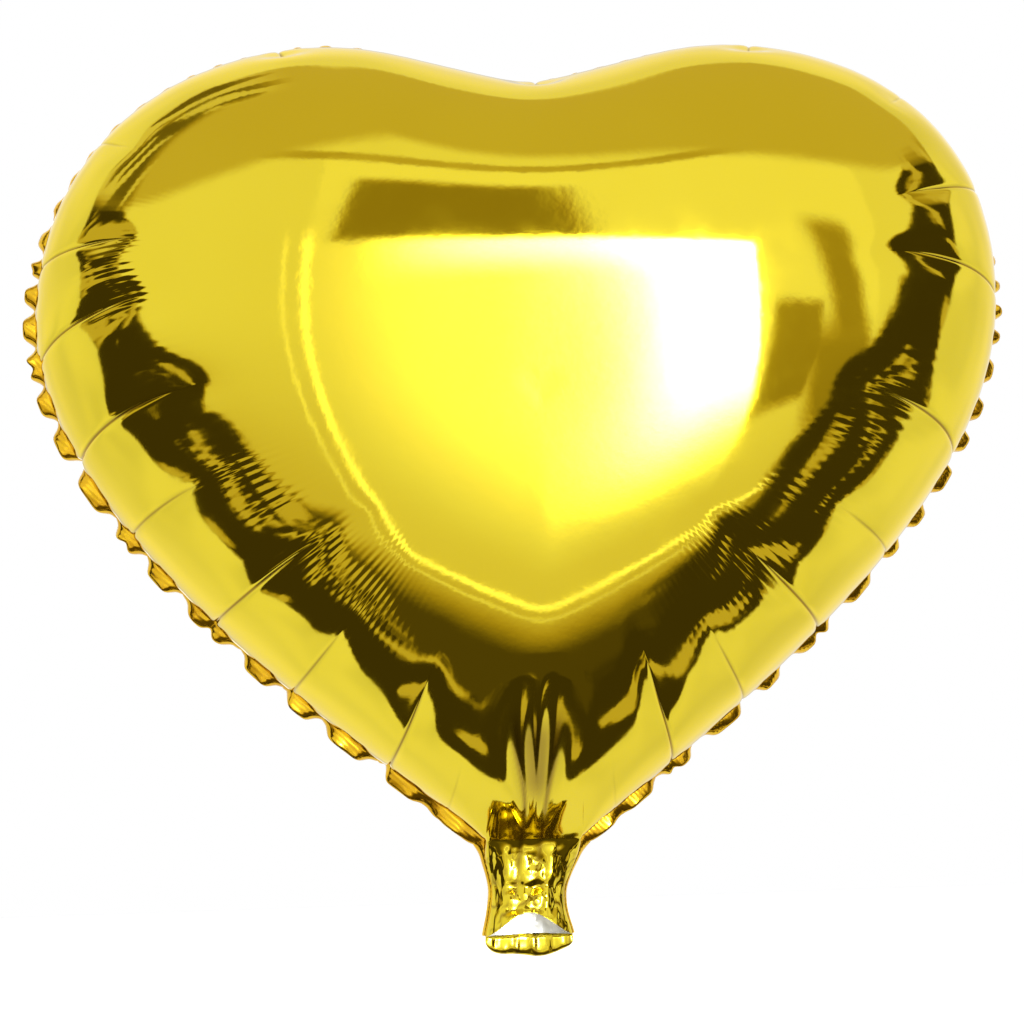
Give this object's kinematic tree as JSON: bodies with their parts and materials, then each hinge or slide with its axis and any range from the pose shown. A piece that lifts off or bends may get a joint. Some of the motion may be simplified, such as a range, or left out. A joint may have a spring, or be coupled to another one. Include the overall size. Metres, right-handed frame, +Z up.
{
  "type": "heart foil balloon",
  "caption": "Inflated heart-shaped foil balloon with a heat-sealed edge band, a folding filling neck and a self-sealing film valve inside.",
  "frame": {"origin": "centre of the neck's root at the tip of the heart, where a ribbon is tied", "axes": "+Z up from the neck to the lobes, -Y out of the front panel, +Y out of the back panel, +X across the width of the heart"},
  "size_m": [0.3876, 0.1616, 0.3627],
  "materials": {
    "gold_foil": "mirror-bright lemon-gold metallised film",
    "gold_seam": "heat-sealed double film, slightly duller and more orange",
    "clear_film": "clear soft film"
  },
  "bodies": {
    "heart": {"front_panel": "gold_foil", "back_panel": "gold_foil", "seam_flange": "gold_seam"},
    "neck": {"neck_front": "gold_foil", "neck_back": "gold_foil", "neck_left_seam": "gold_seam", "neck_right_seam": "gold_seam"},
    "front_film": {"valve_front_film": "clear_film"},
    "back_film": {"valve_back_film": "clear_film"}
  },
  "joints": [
    {"name": "neck_bend", "type": "hinge", "parent": "heart", "child": "neck", "pos_m": [0, 0, 0], "axis": [1, 0, 0], "range_deg": [-60, 60]},
    {"name": "front_film_open", "type": "hinge", "parent": "heart", "child": "front_film", "pos_m": [0, -0.0005, 0.008], "axis": [1, 0, 0], "range_deg": [0, 8], "stiffness_Nm_per_rad": 0.02},
    {"name": "back_film_open", "type": "hinge", "parent": "heart", "child": "back_film", "pos_m": [0, 0.0005, 0.008], "axis": [-1, 0, 0], "range_deg": [0, 8], "stiffness_Nm_per_rad": 0.02}
  ],
  "couplings": [
    {"joint": "back_film_open", "follows": "front_film_open", "ratio": 1}
  ]
}
